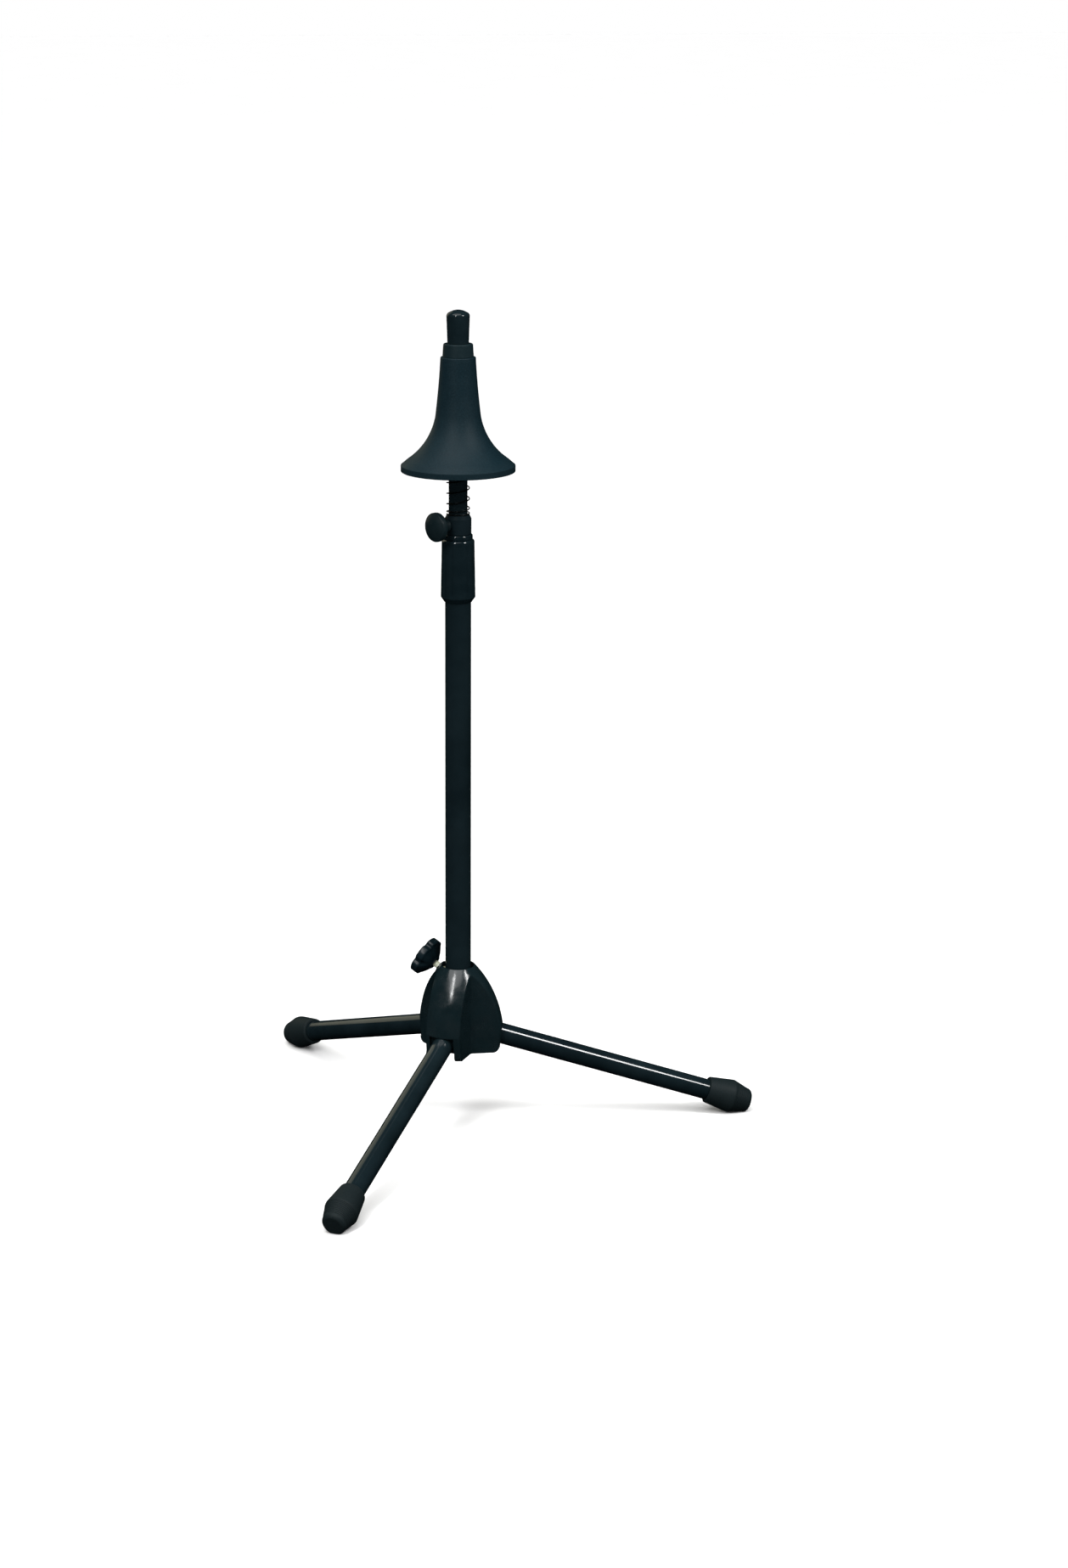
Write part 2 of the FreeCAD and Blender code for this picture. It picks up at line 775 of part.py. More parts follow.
def make_column_plug():
    """Plastic plug that closes the column's lower end."""
    inner = size["column_radius"] - size["column_wall"]
    base = size["column_base"] - size["plug_flange"]
    rim = size["column_radius"] - size["plug_edge_gap"]
    return turned("column_plug", [
        (ZERO, base),
        (rim, base),
        (rim, size["column_base"]),
        (inner, size["column_base"]),
        (inner, size["column_base"] + size["plug_depth"]),
        (ZERO, size["column_base"] + size["plug_depth"]),
    ])


def make_clutch_core():
    """Liner in the column's top that guides the rod and stops its glide."""
    inner = size["column_radius"] - size["column_wall"]
    return turned("clutch_core", box_outline(
        size["rod_radius"] + size["running_gap"], size["clutch_core_base"],
        inner, size["clutch_core_top"]))


def make_collet():
    """Split collet that grips the rod when the sleeve is turned."""
    base = size["column_top"]
    inner = size["rod_radius"] + size["running_gap"]
    outer = size["collet_radius"]
    body = turned("clutch_collet", [
        (inner, base),
        (outer, base),
        (outer, size["collet_top"] - size["collet_nose_height"]),
        (size["rod_radius"] + size["collet_nose_wall"], size["collet_top"]),
        (inner, size["collet_top"]),
    ])
    slit = new_sketch(body, "slit", "XY_Plane")
    half = size["collet_slit"] / 2.0
    draw_outline(slit, box_outline(ZERO, -half, outer + size["cutter_margin"], half))
    slit_cut = cut(body, slit, size["collet_top"] + size["cutter_margin"], flip=True)
    repeat_round(body, [slit_cut], COLLET_SLITS)
    foot = new_sketch(body, "base_ring", "XZ_Plane")
    draw_outline(foot, box_outline(inner, base, outer, base + size["collet_foot"]))
    turn(body, foot)
    return body


def make_clutch_sleeve():
    """Fluted sleeve that is turned by hand to lock the rod."""
    shoulder = size["sleeve_shoulder"]
    body = turned("clutch_sleeve", [
        (size["sleeve_bore_radius"], size["sleeve_base"]),
        (size["sleeve_bore_radius"] + size["sleeve_base_step"], size["sleeve_base"]),
        (size["sleeve_base_radius"], size["sleeve_chamfer_top"]),
        (size["sleeve_top_radius"], size["sleeve_top"] - shoulder, shoulder, "left"),
        (size["sleeve_top_radius"] - shoulder, size["sleeve_top"]),
        (size["sleeve_bore_radius"], size["sleeve_top"]),
    ])
    flute = new_sketch(body, "flute", "XY_Plane")
    reach = size["sleeve_base_radius"] + size["flute_radius"] - size["flute_depth"]
    draw_circle(flute, reach, ZERO, size["flute_radius"])
    flute_cut = cut(body, flute, size["sleeve_top"] + size["cutter_margin"], flip=True)
    repeat_round(body, [flute_cut], FLUTE_COUNT)
    return body


def make_clutch_flange():
    """Ring on top of the clutch; the collar rests on it when the rod is down."""
    lip = size["flange_lip"]
    radius = size["flange_radius"]
    return turned("clutch_flange", [
        (size["rod_radius"] + size["running_gap"], size["flange_base"]),
        (radius, size["flange_base"]),
        (radius, size["flange_top"] - lip, lip, "left"),
        (radius - lip, size["flange_top"]),
        (size["rod_radius"] + size["running_gap"], size["flange_top"]),
    ])


# ---------------------------------------------------------------- rod


def make_rod():
    return turned("inner_rod", box_outline(
        size["rod_radius"] - size["rod_wall"], size["rod_base"],
        size["rod_radius"], size["rod_top"]))


def make_glide():
    """Collar on the rod's lower end that guides it inside the column."""
    outer = size["column_radius"] - size["column_wall"] - size["glide_gap"]
    return turned("rod_glide", box_outline(
        size["rod_radius"], size["rod_base"], outer, size["glide_top"]))


def make_tip_cap():
    """Soft cap pushed over the rod's top."""
    corner = size["tip_corner"]
    shoulder = size["tip_shoulder_radius"]
    crown_edge = size["tip_shoulder"] + size["tip_corner_height"]
    crown = crown_radius(shoulder - corner, size["tip_top"] - crown_edge)
    return turned("rod_tip_cap", [
        (size["rod_radius"], size["tip_base"]),
        (size["tip_base_radius"], size["tip_base"]),
        (shoulder, size["tip_shoulder"], size["tip_corner_arc"], "left"),
        (shoulder - corner, crown_edge, crown, "left"),
        (ZERO, size["tip_top"]),
        (ZERO, size["rod_top"]),
        (size["rod_radius"], size["rod_top"]),
    ])


# ---------------------------------------------------------------- collar


def make_collar():
    """Stop collar that clamps on the rod and seats the spring."""
    body = turned("stop_collar", [
        (size["rod_radius"] + size["running_gap"], size["collar_base"]),
        (size["collar_radius"], size["collar_base"]),
        (size["collar_radius"], size["collar_chamfer"]),
        (size["collar_top_radius"], size["collar_top"]),
        (size["rod_radius"] + size["running_gap"], size["collar_top"]),
    ])
    # the screw's hole runs along X in this body, which is then turned to its place
    hole = new_sketch(body, "screw_hole", "YZ_Plane")
    hole_radius = size["collar_screw_radius"] + size["running_gap"]
    draw_circle(hole, ZERO, size["collar_knob_height"], hole_radius)
    cut(body, hole, size["collar_radius"] + size["cutter_margin"], flip=True)
    body.Placement = FreeCAD.Placement(
        FreeCAD.Vector(),
        FreeCAD.Rotation(FreeCAD.Vector(0, 0, 1), size["collar_knob_direction"].value))
    return body


def make_collar_pad():
    pad_piece = cylinder("collar_pad", size["collar_pad_radius"], ZERO, size["collar_pad_length"])
    start = (size["rod_radius"] + size["collar_pad_gap"]).value
    pad_piece.Placement = collar_frame().multiply(
        FreeCAD.Placement(FreeCAD.Vector(0, 0, start), FreeCAD.Rotation()))
    return pad_piece


def make_collar_screw():
    start = size["rod_radius"] + size["collar_pad_gap"] + size["collar_pad_length"]
    length = size["collar_neck_end"] - start
    screw = cylinder("collar_screw", size["collar_screw_radius"], start, length)
    screw.Placement = collar_frame().multiply(
        FreeCAD.Placement(FreeCAD.Vector(0, 0, start.value), FreeCAD.Rotation()))
    return screw


def make_collar_knob():
    """Round thumb knob with a domed face."""
    radius = size["collar_knob_radius"]
    neck = size["collar_neck_radius"]
    start = size["collar_radius"] + size["collar_neck_gap"]
    edge = size["collar_knob_edge"]
    back = size["collar_knob_back"]
    rim = size["collar_knob_rim"]
    crown = crown_radius(radius - edge, size["collar_knob_end"] - rim)
    body = turned("collar_knob", [
        (size["collar_screw_radius"], start),
        (neck, start),
        (neck, size["collar_neck_end"] - size["collar_neck_flare"]),
        (radius - back, size["collar_neck_end"]),
        (radius, size["collar_neck_end"] + back),
        (radius, rim - edge, size["collar_knob_edge_arc"], "left"),
        (radius - edge, rim, crown, "left"),
        (ZERO, size["collar_knob_end"]),
        (ZERO, size["collar_neck_end"]),
        (size["collar_screw_radius"], size["collar_neck_end"]),
    ])
    body.Placement = collar_frame()
    return body


# ---------------------------------------------------------------- spring and cone


def make_spring():
    body = new_body("spring")
    wire = size["spring_wire"]
    section = new_sketch(body, "wire", "XZ_Plane")
    draw_circle(section, size["spring_radius"], size["collar_top"] + wire, wire)
    coil = body.newObject("PartDesign::AdditiveHelix", "spring_coil")
    coil.Profile = section
    coil.ReferenceAxis = (section, ["V_Axis"])
    coil.Mode = "height-turns-angle"
    height = size["washer_base"] - size["collar_top"] - wire * 2.0
    coil.setExpression("Height", height.text)
    coil.setExpression("Turns", size["spring_turns"].text)
    document.recompute()
    return body


def make_washer():
    return turned("spring_washer", box_outline(
        size["rod_radius"] + size["running_gap"], size["washer_base"],
        size["washer_radius"], size["washer_top"]))


def make_cone():
    """Flared shell with a guide core that runs on the rod."""
    bore = size["rod_radius"] + size["running_gap"] * 2.0
    edge = size["cone_rim_edge"]
    rim = size["cone_rim_radius"]
    spigot_floor = size["cone_top"] - size["bush_spigot"]
    return turned("bell_cone", [
        (rim - edge, size["cone_rim_base"], edge, "left"),
        (rim, size["cone_rim_base"] + edge),
        (rim, size["cone_rim_top"]),
        (size["cone_flare_radius"], size["cone_flare_top"], size["cone_flare_arc"], "right"),
        (size["cone_neck_radius"], size["cone_neck_base"], size["cone_neck_arc"], "right"),
        (size["cone_top_radius"], size["cone_top"]),
        (size["bush_spigot_radius"], size["cone_top"]),
        (size["bush_spigot_radius"], spigot_floor),
        (bore, spigot_floor),
        (bore, size["cone_core_base"]),
        (size["cone_core_radius"], size["cone_core_base"]),
        (size["cone_core_radius"], size["cone_ceiling"]),
        (size["cone_ceiling_radius"], size["cone_ceiling"], size["cone_inner_flare_arc"], "left"),
        (size["cone_inner_rim_radius"], size["cone_rim_base"] + size["cone_inner_rim_height"]),
        (size["cone_inner_rim_radius"], size["cone_rim_base"]),
    ])


def make_cone_bush():
    """Guide bush in the cone's neck; the tip cap holds it down."""
    bore = size["rod_radius"] + size["running_gap"]
    edge = size["bush_edge"]
    top = size["tip_base"] - size["bush_top_gap"]
    upper = size["bush_upper_radius"]
    return turned("cone_guide_bush", [
        (bore, size["cone_top"] - size["bush_spigot"]),
        (size["bush_spigot_radius"], size["cone_top"] - size["bush_spigot"]),
        (size["bush_spigot_radius"], size["cone_top"]),
        (size["bush_lower_radius"], size["cone_top"]),
        (upper, top - edge, edge, "left"),
        (upper - edge, top),
        (bore, top),
    ])


# ---------------------------------------------------------------- assembly


def make_all():
    make_hub()
    make_hub_bush()
    for index in range(LEG_COUNT):
        make_pin(index)
        make_knuckle(index)
        make_leg_tube(index)
        make_foot(index)
    make_clamp_pad()
    make_clamp_bolt()
    make_clamp_knob()
    make_column()
    make_column_plug()
    make_clutch_core()
    make_collet()
    make_clutch_sleeve()
    make_clutch_flange()
    make_rod()
    make_glide()
    make_tip_cap()
    make_collar()
    make_collar_pad()
    make_collar_screw()
    make_collar_knob()
    make_spring()
    make_washer()
    make_cone()
    make_cone_bush()


def check_all():
    document.recompute()
    for thing in document.Objects:
        bad = [state for state in thing.State if state in ("Invalid", "Error")]
        if bad:
            raise RuntimeError(f"{thing.Label} is {bad}")
    for piece in labelled:
        if piece.Shape.isNull() or not piece.Shape.isValid():
            raise RuntimeError(f"{piece.Label} has no valid shape")
        if len(piece.Shape.Solids) != 1:
            raise RuntimeError(f"{piece.Label} has {len(piece.Shape.Solids)} solids")


def export_all():
    os.makedirs("parts", exist_ok=True)
    for piece in labelled:
        piece.Shape.exportStep(f"parts/{piece.Label}.step")
        print(piece.Label, round(piece.Shape.Volume, 1))


make_all()
check_all()
export_all()
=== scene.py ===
import json
import math

import bmesh
import bpy
from mathutils import Matrix, Vector


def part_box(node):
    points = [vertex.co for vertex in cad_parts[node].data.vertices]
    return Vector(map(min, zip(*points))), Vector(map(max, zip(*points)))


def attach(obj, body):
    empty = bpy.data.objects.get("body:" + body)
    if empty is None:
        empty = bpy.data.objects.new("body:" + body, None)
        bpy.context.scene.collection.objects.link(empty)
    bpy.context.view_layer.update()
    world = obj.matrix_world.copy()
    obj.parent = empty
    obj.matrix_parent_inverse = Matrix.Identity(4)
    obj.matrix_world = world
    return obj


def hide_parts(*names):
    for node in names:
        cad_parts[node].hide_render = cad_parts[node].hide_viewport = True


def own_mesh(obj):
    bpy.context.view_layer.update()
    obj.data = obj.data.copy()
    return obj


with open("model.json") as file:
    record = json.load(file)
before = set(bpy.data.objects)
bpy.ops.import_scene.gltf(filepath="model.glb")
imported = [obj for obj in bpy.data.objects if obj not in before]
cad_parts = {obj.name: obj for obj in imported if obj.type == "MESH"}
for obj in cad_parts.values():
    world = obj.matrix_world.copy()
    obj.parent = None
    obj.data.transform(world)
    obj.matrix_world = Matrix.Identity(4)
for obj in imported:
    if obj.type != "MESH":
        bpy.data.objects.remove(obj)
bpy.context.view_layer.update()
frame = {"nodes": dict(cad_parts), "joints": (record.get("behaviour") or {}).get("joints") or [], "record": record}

MM = 0.001
TURN = 2.0 * math.pi
LEG_NAMES = ("leg_1", "leg_2", "leg_3")
JOINTS = {joint["name"]: joint for joint in frame["joints"]}

# ------------------------------------------------------------------ camera
# The camera stands on the -Y side, about a metre up, and looks a little down.

CAMERA_TURN = math.radians(-97.2)
CAMERA_DISTANCE = 2.5704
CAMERA_HEIGHT = 1.0235
CAMERA_PITCH = math.radians(11.209)
CAMERA_LENS = 71.104
CAMERA_SENSOR = 36.0
CAMERA_REACH = 40.0
CAMERA_SHIFT = (0.0484, -0.15)


def make_camera():
    data = bpy.data.cameras.new("camera")
    data.lens = CAMERA_LENS
    data.sensor_width = CAMERA_SENSOR
    data.shift_x, data.shift_y = CAMERA_SHIFT
    data.clip_end = CAMERA_REACH
    camera = bpy.data.objects.new("camera", data)
    bpy.context.scene.collection.objects.link(camera)
    camera.location = (
        CAMERA_DISTANCE * math.cos(CAMERA_TURN),
        CAMERA_DISTANCE * math.sin(CAMERA_TURN),
        CAMERA_HEIGHT,
    )
    camera.rotation_euler = (math.pi / 2 - CAMERA_PITCH, 0, CAMERA_TURN + math.pi / 2)
    bpy.context.scene.camera = camera


# ------------------------------------------------------------------ stage and light


FLOOR_SIZE = 60.0


def make_stage():
    """Pale paper floor, left out of mirror and bounced light so that the blacks stay black."""
    bpy.ops.mesh.primitive_plane_add(size=FLOOR_SIZE, location=(0, 0, 0))
    floor = bpy.context.object
    floor.name = "floor"
    floor.data.materials.append(plain_material("floor_paper", (0.97, 0.97, 0.97), 0.9))
    floor.visible_glossy = False
    floor.visible_diffuse = False


LAMP_AIM = (0, 0, 0.35)


def soft_box(name, bearing, rise, size, power, tint=(1, 1, 1)):
    """Rectangular lamp. Its bearing is counted from the camera, positive to the
    camera's right, and its rise is the angle above the level of its aim."""
    data = bpy.data.lights.new(name, "AREA")
    data.shape = "RECTANGLE"
    data.size, data.size_y = size
    data.energy = power
    data.color = tint
    light = bpy.data.objects.new(name, data)
    bpy.context.scene.collection.objects.link(light)
    angle = CAMERA_TURN + math.radians(bearing)
    lift = math.radians(rise)
    away = Vector((math.cos(angle) * math.cos(lift), math.sin(angle) * math.cos(lift), math.sin(lift)))
    light.location = Vector(LAMP_AIM) + away * LAMP_DISTANCE
    light.rotation_euler = (-away).to_track_quat("-Z", "Y").to_euler()


# How high in the room, from 0 straight down to 1 straight up, and how bright there.
WORLD_STRENGTHS = ((0.35, 0.3), (0.46, 1.0), (0.54, 1.0), (0.68, 0.3))
LAMP_DISTANCE = 2.4
WASH_ENERGY = 2.5


def make_world():
    """White room, brightest at eye level, that mirror reflections do not see."""
    world = bpy.data.worlds.new("studio")
    bpy.context.scene.world = world
    world.use_nodes = True
    tree = world.node_tree
    place = tree.nodes.new("ShaderNodeTexCoord").outputs["Generated"]
    split = tree.nodes.new("ShaderNodeSeparateXYZ")
    tree.links.new(place, split.inputs["Vector"])
    lift = tree.nodes.new("ShaderNodeMapRange")
    lift.inputs["From Min"].default_value = -1.0
    tree.links.new(split.outputs["Z"], lift.inputs["Value"])
    fade = tree.nodes.new("ShaderNodeValToRGB")
    for level, _ in WORLD_STRENGTHS[1:-1]:
        fade.color_ramp.elements.new(level)
    for element, (level, strength) in zip(fade.color_ramp.elements, WORLD_STRENGTHS):
        element.position = level
        element.color = (strength, strength, strength, 1)
    tree.links.new(lift.outputs["Result"], fade.inputs["Fac"])
    background = tree.nodes["Background"]
    background.inputs["Color"].default_value = (1, 1, 1, 1)
    tree.links.new(fade.outputs["Color"], background.inputs["Strength"])
    world.cycles_visibility.glossy = False


def make_lights():
    """Even wash from above, two small high lamps in front and a warm one behind."""
    wash = bpy.data.lights.new("wash", "SUN")
    wash.energy = WASH_ENERGY
    wash.angle = math.radians(60.0)
    lamp = bpy.data.objects.new("wash", wash)
    lamp.rotation_euler = (math.radians(12.0), math.radians(-10.0), 0)
    bpy.context.scene.collection.objects.link(lamp)
    soft_box("left_lamp", -26.0, 42.0, (0.26, 1.1), 24)
    soft_box("right_lamp", 58.0, 43.0, (0.40, 0.8), 32)
    soft_box("rear_lamp", -142.0, 24.0, (1.6, 1.7), 6, (1.0, 0.97, 0.74))


# ------------------------------------------------------------------ materials


class Nodes:
    """Short names for the shader nodes that the materials below are made of."""

    def __init__(self, name):
        self.material = bpy.data.materials.new(name)
        self.material.use_nodes = True
        self.tree = self.material.node_tree
        self.shader = self.tree.nodes["Principled BSDF"]
        self.place = self.tree.nodes.new("ShaderNodeTexCoord").outputs["Object"]

    def link(self, source, target):
        self.tree.links.new(source, target)

    def set(self, **values):
        for key, value in values.items():
            self.shader.inputs[key.replace("_", " ")].default_value = value

    def noise(self, scale, detail=3.0, roughness=0.5):
        node = self.tree.nodes.new("ShaderNodeTexNoise")
        node.inputs["Scale"].default_value = scale
        node.inputs["Detail"].default_value = detail
        node.inputs["Roughness"].default_value = roughness
        self.link(self.place, node.inputs["Vector"])
        return node.outputs["Fac"]

    def cells(self, scale):
        node = self.tree.nodes.new("ShaderNodeTexVoronoi")
        node.inputs["Scale"].default_value = scale
        self.link(self.place, node.inputs["Vector"])
        return node.outputs["Distance"]

    def ramp(self, source, low, high, start=0.35, end=0.65):
        """source as a number from low to high"""
        node = self.tree.nodes.new("ShaderNodeMapRange")
        node.inputs["From Min"].default_value = start
        node.inputs["From Max"].default_value = end
        node.inputs["To Min"].default_value = low
        node.inputs["To Max"].default_value = high
        self.link(source, node.inputs["Value"])
        return node.outputs["Result"]

    def colours(self, source, first, second, start=0.35, end=0.65):
        node = self.tree.nodes.new("ShaderNodeValToRGB")
        node.color_ramp.elements[0].position = start
        node.color_ramp.elements[1].position = end
        node.color_ramp.elements[0].color = (*first, 1)
        node.color_ramp.elements[1].color = (*second, 1)
        self.link(source, node.inputs["Fac"])
        return node.outputs["Color"]

    def mix(self, factor, first, second):
        node = self.tree.nodes.new("ShaderNodeMix")
        node.data_type = "RGBA"
        self.link(factor, node.inputs["Factor"])
        self.link(first, node.inputs["A"])
        self.link(second, node.inputs["B"])
        return node.outputs["Result"]

    def add(self, first, second, share):
        """first plus a share of second"""
        node = self.tree.nodes.new("ShaderNodeMath")
        node.operation = "MULTIPLY_ADD"
        node.inputs[1].default_value = share
        self.link(second, node.inputs[0])
        self.link(first, node.inputs[2])
        return node.outputs["Value"]

    def bump(self, height, distance):
        node = self.tree.nodes.new("ShaderNodeBump")
        node.inputs["Distance"].default_value = distance
        node.inputs["Strength"].default_value = 1.0
        self.link(height, node.inputs["Height"])
        self.link(node.outputs["Normal"], self.shader.inputs["Normal"])

    def colour(self, source):
        self.link(source, self.shader.inputs["Base Color"])

    def rough(self, source):
        self.link(source, self.shader.inputs["Roughness"])


def plain_material(name, colour, roughness):
    nodes = Nodes(name)
    nodes.colour(nodes.colours(nodes.noise(3.0), colour, [c * 0.99 for c in colour]))
    nodes.set(Roughness=roughness)
    return nodes.material


def enamel(name, colour, peel_scale, peel_depth, rough, specular=0.5):
    """Stoved black enamel with orange peel, faint smears and a few dust specks."""
    nodes = Nodes(name)
    smears = nodes.noise(22.0, 5.0, 0.6)
    lighter = [c * 1.5 + 0.001 for c in colour]
    nodes.colour(nodes.colours(smears, colour, lighter))
    nodes.rough(nodes.ramp(nodes.noise(60.0, 4.0, 0.6), *rough))
    peel = nodes.noise(peel_scale, 2.0, 0.4)
    specks = nodes.ramp(nodes.cells(260.0), 1.0, 0.0, 0.0, 0.06)
    nodes.bump(nodes.add(peel, specks, 0.5), peel_depth)
    nodes.set(Specular_IOR_Level=specular)
    return nodes.material


def moulded(name, colour, rough, grain_scale, grain_depth, specular=0.5):
    """Moulded plastic: fine grain, slow colour drift, slightly uneven gloss."""
    nodes = Nodes(name)
    drift = nodes.noise(35.0, 4.0, 0.6)
    nodes.colour(nodes.colours(drift, colour, [c * 1.4 + 0.001 for c in colour]))
    nodes.rough(nodes.ramp(nodes.noise(140.0, 3.0), *rough))
    nodes.bump(nodes.noise(grain_scale, 4.0, 0.6), grain_depth)
    nodes.set(Specular_IOR_Level=specular)
    return nodes.material


def rubber(name, colour, dusty, rough, grain_scale, grain_depth):
    """Rubber: a fine pebbled grain, with pale dust caught in it."""
    nodes = Nodes(name)
    grain = nodes.noise(grain_scale, 3.0, 0.6)
    pebbles = nodes.cells(grain_scale * 0.6)
    clouds = nodes.noise(26.0, 5.0, 0.65)
    base = nodes.colours(clouds, colour, dusty, 0.3, 0.75)
    speckle = nodes.colours(grain, [c * 0.55 for c in colour], [c * 1.6 for c in dusty], 0.3, 0.7)
    nodes.colour(nodes.mix(nodes.ramp(grain, 0.15, 0.55), base, speckle))
    nodes.rough(nodes.ramp(clouds, *rough))
    nodes.bump(nodes.add(grain, pebbles, 0.6), grain_depth)
    nodes.set(Specular_IOR_Level=0.11)
    return nodes.material


def metal(name, colour, tint, rough, shine=1.0):
    """Plated or bare metal with drifting tint and fine scratches."""
    nodes = Nodes(name)
    nodes.set(Metallic=shine)
    nodes.colour(nodes.colours(nodes.noise(180.0, 3.0), colour, tint))
    scratches = nodes.noise(900.0, 4.0, 0.7)
    nodes.rough(nodes.ramp(scratches, *rough))
    nodes.bump(scratches, 0.02 * MM)
    return nodes.material


def make_materials():
    return {
        "hub_enamel": enamel("hub_enamel", (0.0034, 0.0084, 0.0102), 560.0, 0.042 * MM, (0.10, 0.30)),
        "tube_enamel": enamel("tube_enamel", (0.0040, 0.0086, 0.0108), 420.0, 0.006 * MM, (0.09, 0.15)),
        "collar_enamel": enamel(
            "collar_enamel", (0.0036, 0.0082, 0.0106), 600.0, 0.015 * MM, (0.45, 0.55), specular=0.03),
        "pin_steel": metal("pin_steel", (0.10, 0.10, 0.11), (0.16, 0.16, 0.17), (0.3, 0.5)),
        "yellow_zinc": metal(
            "yellow_zinc", (0.86, 0.88, 0.62), (0.78, 0.82, 0.66), (0.25, 0.4), shine=0.25),
        "spring_steel": metal("spring_steel", (0.012, 0.015, 0.017), (0.03, 0.034, 0.036), (0.3, 0.5)),
        "black_nylon": moulded("black_nylon", (0.006, 0.008, 0.009), (0.4, 0.55), 1800.0, 0.03 * MM),
        "clutch_plastic": moulded(
            "clutch_plastic", (0.0036, 0.0082, 0.0104), (0.06, 0.12), 900.0, 0.006 * MM),
        "knob_plastic": moulded(
            "knob_plastic", (0.0030, 0.0078, 0.0104), (0.18, 0.28), 900.0, 0.012 * MM, specular=0.12),
        "knob_satin": moulded(
            "knob_satin", (0.0035, 0.0090, 0.0110), (0.34, 0.46), 1500.0, 0.02 * MM, specular=0.14),
        "tip_vinyl": moulded(
            "tip_vinyl", (0.0040, 0.0086, 0.0108), (0.08, 0.13), 500.0, 0.01 * MM, specular=0.24),
        "bush_plastic": moulded(
            "bush_plastic", (0.0040, 0.0105, 0.0130), (0.36, 0.5), 1500.0, 0.03 * MM, specular=0.10),
        "cone_rubber": rubber(
            "cone_rubber", (0.0022, 0.0098, 0.0145), (0.0052, 0.0158, 0.0212),
            (0.42, 0.54), 1300.0, 0.12 * MM),
        "foot_rubber": rubber(
            "foot_rubber", (0.0040, 0.0085, 0.0098), (0.0070, 0.0120, 0.0135),
            (0.5, 0.66), 1600.0, 0.06 * MM),
    }


def dress_nodes(materials):
    """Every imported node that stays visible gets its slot's full material."""
    slots = {entry["node"]: entry["material_slot"] for entry in frame["record"]["subparts"]}
    for name, node in frame["nodes"].items():
        finish = materials[slots[name]]
        if not node.material_slots:
            node.data.materials.append(finish)
        for slot in node.material_slots:
            slot.material = finish


# ------------------------------------------------------------------ mesh tools


ROUNDING_STEPS = 6
CROWN_STEPS = 16


def rounded(corners):
    """Outline through corners (x, y, radius), each rounded by its own radius."""
    points = []
    count = len(corners)
    for index, corner in enumerate(corners):
        here = Vector(corner[:2])
        radius = corner[2]
        back = (Vector(corners[index - 1][:2]) - here).normalized()
        ahead = (Vector(corners[(index + 1) % count][:2]) - here).normalized()
        half = back.angle(ahead) / 2.0
        reach = radius / math.tan(half)
        centre = here + (back + ahead).normalized() * (radius / math.sin(half))
        start = here + back * reach - centre
        finish = here + ahead * reach - centre
        sweep = start.angle_signed(finish)
        for step in range(ROUNDING_STEPS + 1):
            turned = start.copy()
            turned.rotate(Matrix.Rotation(-sweep * step / ROUNDING_STEPS, 2))
            points.append(tuple(centre + turned))
    return points


def arc(start, end, radius, side, steps):
    """Points after start up to end on an arc that bends left (1) or right (-1)."""
    first, last = Vector(start), Vector(end)
    along = last - first
    normal = Vector((-along.y, along.x)).normalized() * side
    rise = math.sqrt(radius * radius - along.length_squared / 4.0)
    centre = (first + last) / 2.0 + normal * rise
    spoke = first - centre
    sweep = 2.0 * math.asin(along.length / 2.0 / radius) * side
    points = []
    for step in range(1, steps + 1):
        turned = Matrix.Rotation(sweep * step / steps, 2) @ spoke
        points.append(tuple(centre + turned))
    return points


def crown(half_width, base, top):
    """Points of a shallow dome from its edge to just before its middle."""
    rise = top - base
    radius = (half_width**2 + rise**2) / (2.0 * rise)
    points = []
    for step in range(1, CROWN_STEPS):
        across = half_width * (1.0 - step / CROWN_STEPS)
        points.append((across, top - radius + math.sqrt(radius**2 - across**2)))
    return points


SAME_POINT = 1e-7
ROUND_SEGMENTS = 128


def finish_mesh(name, mesh_data, material, body, replaced, matrix=None, sharp=40.0):
    """Turns a bmesh into a smooth piece that rides on body in place of the
    replaced nodes, with edges sharper than so many degrees left hard."""
    bmesh.ops.remove_doubles(mesh_data, verts=mesh_data.verts, dist=SAME_POINT)
    bmesh.ops.recalc_face_normals(mesh_data, faces=mesh_data.faces)
    mesh = bpy.data.meshes.new(name)
    mesh_data.to_mesh(mesh)
    mesh_data.free()
    if matrix is not None:
        mesh.transform(matrix)
    for face in mesh.polygons:
        face.use_smooth = True
    mesh.set_sharp_from_angle(angle=math.radians(sharp))
    mesh.materials.append(MATERIALS[material])
    piece = bpy.data.objects.new(name, mesh)
    bpy.context.scene.collection.objects.link(piece)
    weights = piece.modifiers.new("weights", "WEIGHTED_NORMAL")
    weights.keep_sharp = True
    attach(piece, body)
    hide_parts(*replaced)
    return piece


